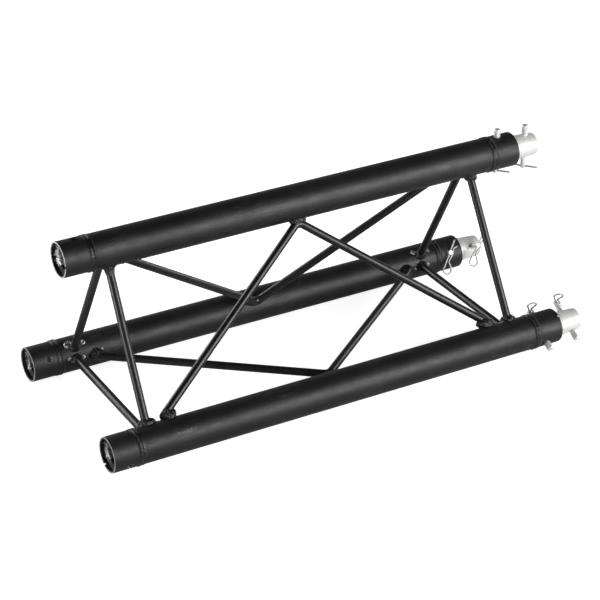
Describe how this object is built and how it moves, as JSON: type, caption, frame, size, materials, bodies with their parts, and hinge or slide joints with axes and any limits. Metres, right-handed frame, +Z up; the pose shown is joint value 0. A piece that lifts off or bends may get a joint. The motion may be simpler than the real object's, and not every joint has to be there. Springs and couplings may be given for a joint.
{
  "type": "lighting truss section",
  "caption": "Short straight triangular lighting truss section: parallel chord tubes joined by welded V braces and end posts, with conical couplers, taper pins and spring clips at one end.",
  "frame": {"origin": "centre of the bounding box in X and Y, at its lowest point in Z", "axes": "+X along the chords from the socket end to the coupler end, +Z up to the apex chord, +Y towards the rear bottom chord"},
  "size_m": [0.5282, 0.2322, 0.2041],
  "materials": {
    "powder_coat_black": "satin",
    "weld_black": "satin",
    "aluminium_bare": "satin",
    "pin_steel": "satin",
    "clip_zinc": "gloss"
  },
  "bodies": {
    "truss_frame": {"chord_tube_front": "powder_coat_black", "chord_tube_rear": "powder_coat_black", "chord_tube_top": "powder_coat_black", "conical_coupler_front": "aluminium_bare", "conical_coupler_rear": "aluminium_bare", "conical_coupler_top": "aluminium_bare", "end_post_female_bottom": "powder_coat_black", "end_post_female_front": "powder_coat_black", "end_post_female_rear": "powder_coat_black", "end_post_male_bottom": "powder_coat_black", "end_post_male_front": "powder_coat_black", "end_post_male_rear": "powder_coat_black", "end_sleeve_female_front": "powder_coat_black", "end_sleeve_female_rear": "powder_coat_black", "end_sleeve_female_top": "powder_coat_black", "end_sleeve_male_front": "powder_coat_black", "end_sleeve_male_rear": "powder_coat_black", "end_sleeve_male_top": "powder_coat_black", "ring_weld_female_front": "weld_black", "ring_weld_female_rear": "weld_black", "ring_weld_female_top": "weld_black", "ring_weld_male_front": "weld_black", "ring_weld_male_rear": "weld_black", "ring_weld_male_top": "weld_black", "v_brace_bottom": "powder_coat_black", "v_brace_front": "powder_coat_black", "v_brace_rear": "powder_coat_black", "weld_bend_bottom": "weld_black", "weld_bend_front": "weld_black", "weld_bend_rear": "weld_black", "weld_post_female_bottom_at_front": "weld_black", "weld_post_female_bottom_at_rear": "weld_black", "weld_post_female_front_at_front": "weld_black", "weld_post_female_front_at_top": "weld_black", "weld_post_female_rear_at_rear": "weld_black", "weld_post_female_rear_at_top": "weld_black", "weld_post_male_bottom_at_front": "weld_black", "weld_post_male_bottom_at_rear": "weld_black", "weld_post_male_front_at_front": "weld_black", "weld_post_male_front_at_top": "weld_black", "weld_post_male_rear_at_rear": "weld_black", "weld_post_male_rear_at_top": "weld_black", "weld_v_female_bottom": "weld_black", "weld_v_female_front": "weld_black", "weld_v_female_rear": "weld_black", "weld_v_male_bottom": "weld_black", "weld_v_male_front": "weld_black", "weld_v_male_rear": "weld_black"},
    "pin_inner_top": {"taper_pin_inner_top": "pin_steel"},
    "clip_inner_top": {"r_clip_inner_top": "clip_zinc"},
    "pin_outer_top": {"taper_pin_outer_top": "pin_steel"},
    "clip_outer_top": {"r_clip_outer_top": "clip_zinc"},
    "pin_inner_rear": {"taper_pin_inner_rear": "pin_steel"},
    "clip_inner_rear": {"r_clip_inner_rear": "clip_zinc"},
    "pin_outer_rear": {"taper_pin_outer_rear": "pin_steel"},
    "clip_outer_rear": {"r_clip_outer_rear": "clip_zinc"},
    "pin_inner_front": {"taper_pin_inner_front": "pin_steel"},
    "clip_inner_front": {"r_clip_inner_front": "clip_zinc"},
    "pin_outer_front": {"taper_pin_outer_front": "pin_steel"},
    "clip_outer_front": {"r_clip_outer_front": "clip_zinc"}
  },
  "joints": [
    {"name": "draw_pin_inner_top", "type": "slide", "parent": "truss_frame", "child": "pin_inner_top", "axis": [0, 0, 1], "range_m": [0, 0.048]},
    {"name": "pull_clip_inner_top", "type": "slide", "parent": "pin_inner_top", "child": "clip_inner_top", "axis": [-0.682, 0.7314, 0], "range_m": [0, 0.02], "deforming": ["r_clip_inner_top"]},
    {"name": "draw_pin_outer_top", "type": "slide", "parent": "truss_frame", "child": "pin_outer_top", "axis": [0, 0, 1], "range_m": [0, 0.048]},
    {"name": "pull_clip_outer_top", "type": "slide", "parent": "pin_outer_top", "child": "clip_outer_top", "axis": [-0.682, 0.7314, 0], "range_m": [0, 0.02], "deforming": ["r_clip_outer_top"]},
    {"name": "draw_pin_inner_rear", "type": "slide", "parent": "truss_frame", "child": "pin_inner_rear", "axis": [0, 0.866, -0.5], "range_m": [0, 0.048]},
    {"name": "pull_clip_inner_rear", "type": "slide", "parent": "pin_inner_rear", "child": "clip_inner_rear", "axis": [-0.6225, -0.3913, -0.6778], "range_m": [0, 0.02], "deforming": ["r_clip_inner_rear"]},
    {"name": "draw_pin_outer_rear", "type": "slide", "parent": "truss_frame", "child": "pin_outer_rear", "axis": [0, 0.866, -0.5], "range_m": [0, 0.048]},
    {"name": "pull_clip_outer_rear", "type": "slide", "parent": "pin_outer_rear", "child": "clip_outer_rear", "axis": [-0.6947, -0.3597, -0.623], "range_m": [0, 0.02], "deforming": ["r_clip_outer_rear"]},
    {"name": "draw_pin_inner_front", "type": "slide", "parent": "truss_frame", "child": "pin_inner_front", "axis": [0, -0.866, -0.5], "range_m": [0, 0.048]},
    {"name": "pull_clip_inner_front", "type": "slide", "parent": "pin_inner_front", "child": "clip_inner_front", "axis": [-0.4848, -0.4373, 0.7574], "range_m": [0, 0.02], "deforming": ["r_clip_inner_front"]},
    {"name": "draw_pin_outer_front", "type": "slide", "parent": "truss_frame", "child": "pin_outer_front", "axis": [0, -0.866, -0.5], "range_m": [0, 0.048]},
    {"name": "pull_clip_outer_front", "type": "slide", "parent": "pin_outer_front", "child": "clip_outer_front", "axis": [-0.4848, -0.4373, 0.7574], "range_m": [0, 0.02], "deforming": ["r_clip_outer_front"]}
  ]
}
